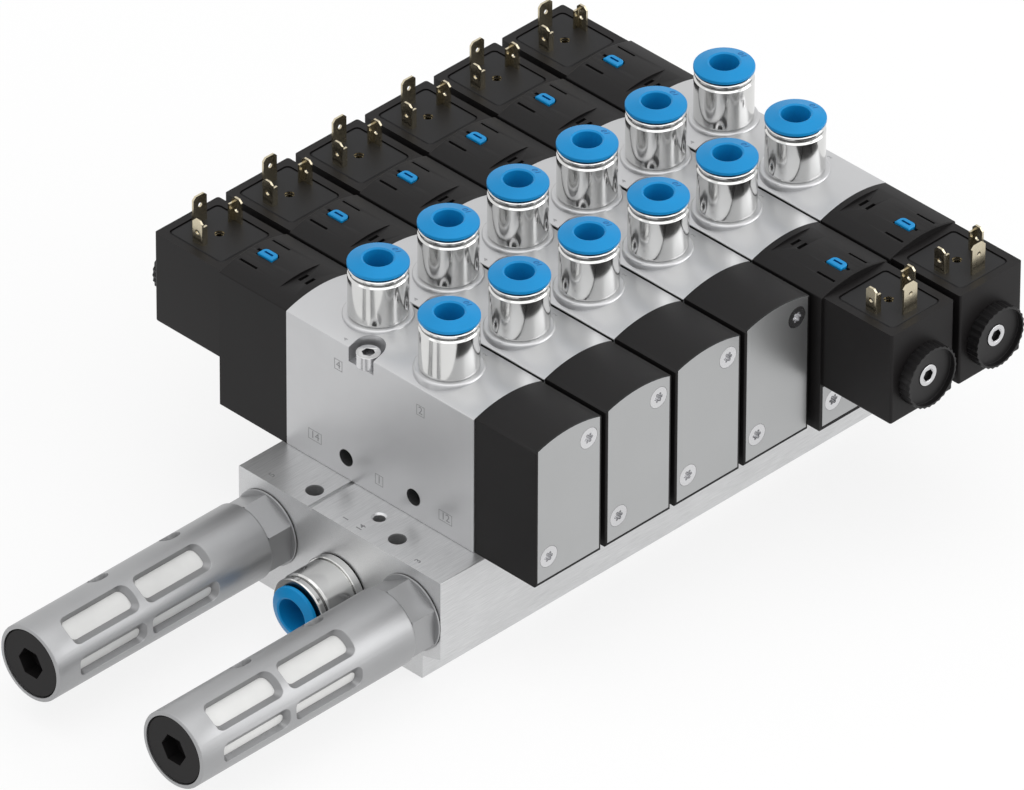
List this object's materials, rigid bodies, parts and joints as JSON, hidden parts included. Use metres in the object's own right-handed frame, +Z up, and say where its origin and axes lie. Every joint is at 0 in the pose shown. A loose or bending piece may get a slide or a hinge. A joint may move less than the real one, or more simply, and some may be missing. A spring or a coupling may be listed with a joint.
{
  "type": "pneumatic valve island",
  "caption": "Row of crowned spool valves with pilot solenoids and push-in tube fittings, on an aluminium manifold rail with exhaust silencers.",
  "frame": {"origin": "centre of the manifold rail's underside", "axes": "+X along the valve row away from the silencers, +Y towards the row of rear solenoids, +Z up"},
  "size_m": [0.3511, 0.2274, 0.1228],
  "materials": {
    "body_aluminium": "fine matt, clear anodised",
    "rail_aluminium": "milled extrusion, clear anodised, matt",
    "silencer_aluminium": "blasted die casting, satin",
    "plate_steel": "rolled stainless sheet, satin",
    "black_plastic": "moulded, fine satin grain",
    "coil_plastic": "moulded thermoset, satin",
    "nut_plastic": "moulded, semi-matt",
    "nickel": "nickel plated brass, polished",
    "blue_plastic": "moulded acetal, satin gloss",
    "blade_metal": "tinned brass strip, pale",
    "screw_steel": "zinc plated",
    "insert_white": "porous polyethylene",
    "seal_rubber": "nitrile",
    "spool_aluminium": "ground, hard anodised"
  },
  "bodies": {
    "island": {"manifold_rail": "rail_aluminium", "seals": "seal_rubber", "retaining_screws": "screw_steel", "valve_body_1": "body_aluminium", "valve_body_2": "body_aluminium", "valve_body_3": "body_aluminium", "valve_body_4": "body_aluminium", "valve_body_5": "body_aluminium", "valve_body_6": "body_aluminium", "pilot_housing_back_1": "black_plastic", "pilot_housing_back_2": "black_plastic", "pilot_housing_back_3": "black_plastic", "pilot_housing_back_4": "black_plastic", "pilot_housing_back_5": "black_plastic", "pilot_housing_back_6": "black_plastic", "pilot_housing_front_5": "black_plastic", "pilot_housing_front_6": "black_plastic", "solenoid_coils_back": "coil_plastic", "solenoid_coils_front": "coil_plastic", "armature_tubes": "nickel", "coil_nuts": "nut_plastic", "contact_blades": "blade_metal", "contact_inserts": "blade_metal", "end_caps": "black_plastic", "cover_plates": "plate_steel", "plate_screws": "screw_steel", "port_fittings": "nickel", "supply_fitting": "nickel", "silencer_housing_rear": "silencer_aluminium", "silencer_housing_front": "silencer_aluminium", "silencer_inserts": "insert_white", "silencer_plugs": "black_plastic", "blanking_plugs": "nickel"},
    "spool_1": {"spool_1": "spool_aluminium"},
    "spool_2": {"spool_2": "spool_aluminium"},
    "spool_3": {"spool_3": "spool_aluminium"},
    "spool_4": {"spool_4": "spool_aluminium"},
    "spool_5": {"spool_5": "spool_aluminium"},
    "spool_6": {"spool_6": "spool_aluminium"},
    "override_back_1": {"override_back_1": "blue_plastic"},
    "override_back_2": {"override_back_2": "blue_plastic"},
    "override_back_3": {"override_back_3": "blue_plastic"},
    "override_back_4": {"override_back_4": "blue_plastic"},
    "override_back_5": {"override_back_5": "blue_plastic"},
    "override_back_6": {"override_back_6": "blue_plastic"},
    "override_front_5": {"override_front_5": "blue_plastic"},
    "override_front_6": {"override_front_6": "blue_plastic"},
    "collar_rear_1": {"collar_rear_1": "blue_plastic"},
    "collar_rear_2": {"collar_rear_2": "blue_plastic"},
    "collar_rear_3": {"collar_rear_3": "blue_plastic"},
    "collar_rear_4": {"collar_rear_4": "blue_plastic"},
    "collar_rear_5": {"collar_rear_5": "blue_plastic"},
    "collar_rear_6": {"collar_rear_6": "blue_plastic"},
    "collar_front_1": {"collar_front_1": "blue_plastic"},
    "collar_front_2": {"collar_front_2": "blue_plastic"},
    "collar_front_3": {"collar_front_3": "blue_plastic"},
    "collar_front_4": {"collar_front_4": "blue_plastic"},
    "collar_front_5": {"collar_front_5": "blue_plastic"},
    "collar_front_6": {"collar_front_6": "blue_plastic"},
    "supply_collar": {"supply_collar": "blue_plastic"}
  },
  "joints": [
    {"name": "shift_1", "type": "slide", "parent": "island", "child": "spool_1", "axis": [0, -1, 0], "range_m": [0, 0.0032], "stiffness_N_per_m": 1500},
    {"name": "shift_2", "type": "slide", "parent": "island", "child": "spool_2", "axis": [0, -1, 0], "range_m": [0, 0.0032], "stiffness_N_per_m": 1500},
    {"name": "shift_3", "type": "slide", "parent": "island", "child": "spool_3", "axis": [0, -1, 0], "range_m": [0, 0.0032], "stiffness_N_per_m": 1500},
    {"name": "shift_4", "type": "slide", "parent": "island", "child": "spool_4", "axis": [0, -1, 0], "range_m": [0, 0.0032], "stiffness_N_per_m": 1500},
    {"name": "shift_5", "type": "slide", "parent": "island", "child": "spool_5", "axis": [0, -1, 0], "range_m": [0, 0.0032]},
    {"name": "shift_6", "type": "slide", "parent": "island", "child": "spool_6", "axis": [0, -1, 0], "range_m": [0, 0.0032]},
    {"name": "press_back_1", "type": "slide", "parent": "island", "child": "override_back_1", "axis": [0, 0, -1], "range_m": [0, 0.0012], "stiffness_N_per_m": 2000},
    {"name": "press_back_2", "type": "slide", "parent": "island", "child": "override_back_2", "axis": [0, 0, -1], "range_m": [0, 0.0012], "stiffness_N_per_m": 2000},
    {"name": "press_back_3", "type": "slide", "parent": "island", "child": "override_back_3", "axis": [0, 0, -1], "range_m": [0, 0.0012], "stiffness_N_per_m": 2000},
    {"name": "press_back_4", "type": "slide", "parent": "island", "child": "override_back_4", "axis": [0, 0, -1], "range_m": [0, 0.0012], "stiffness_N_per_m": 2000},
    {"name": "press_back_5", "type": "slide", "parent": "island", "child": "override_back_5", "axis": [0, 0, -1], "range_m": [0, 0.0012], "stiffness_N_per_m": 2000},
    {"name": "press_back_6", "type": "slide", "parent": "island", "child": "override_back_6", "axis": [0, 0, -1], "range_m": [0, 0.0012], "stiffness_N_per_m": 2000},
    {"name": "press_front_5", "type": "slide", "parent": "island", "child": "override_front_5", "axis": [0, 0, -1], "range_m": [0, 0.0012], "stiffness_N_per_m": 2000},
    {"name": "press_front_6", "type": "slide", "parent": "island", "child": "override_front_6", "axis": [0, 0, -1], "range_m": [0, 0.0012], "stiffness_N_per_m": 2000},
    {"name": "release_rear_1", "type": "slide", "parent": "island", "child": "collar_rear_1", "axis": [0, 0, 1], "range_m": [-0.0005, 0.0005]},
    {"name": "release_rear_2", "type": "slide", "parent": "island", "child": "collar_rear_2", "axis": [0, 0, 1], "range_m": [-0.0005, 0.0005]},
    {"name": "release_rear_3", "type": "slide", "parent": "island", "child": "collar_rear_3", "axis": [0, 0, 1], "range_m": [-0.0005, 0.0005]},
    {"name": "release_rear_4", "type": "slide", "parent": "island", "child": "collar_rear_4", "axis": [0, 0, 1], "range_m": [-0.0005, 0.0005]},
    {"name": "release_rear_5", "type": "slide", "parent": "island", "child": "collar_rear_5", "axis": [0, 0, 1], "range_m": [-0.0005, 0.0005]},
    {"name": "release_rear_6", "type": "slide", "parent": "island", "child": "collar_rear_6", "axis": [0, 0, 1], "range_m": [-0.0005, 0.0005]},
    {"name": "release_front_1", "type": "slide", "parent": "island", "child": "collar_front_1", "axis": [0, 0, 1], "range_m": [-0.0005, 0.0005]},
    {"name": "release_front_2", "type": "slide", "parent": "island", "child": "collar_front_2", "axis": [0, 0, 1], "range_m": [-0.0005, 0.0005]},
    {"name": "release_front_3", "type": "slide", "parent": "island", "child": "collar_front_3", "axis": [0, 0, 1], "range_m": [-0.0005, 0.0005]},
    {"name": "release_front_4", "type": "slide", "parent": "island", "child": "collar_front_4", "axis": [0, 0, 1], "range_m": [-0.0005, 0.0005]},
    {"name": "release_front_5", "type": "slide", "parent": "island", "child": "collar_front_5", "axis": [0, 0, 1], "range_m": [-0.0005, 0.0005]},
    {"name": "release_front_6", "type": "slide", "parent": "island", "child": "collar_front_6", "axis": [0, 0, 1], "range_m": [-0.0005, 0.0005]},
    {"name": "release_supply", "type": "slide", "parent": "island", "child": "supply_collar", "axis": [-1, 0, 0], "range_m": [-0.0005, 0.0005]}
  ]
}
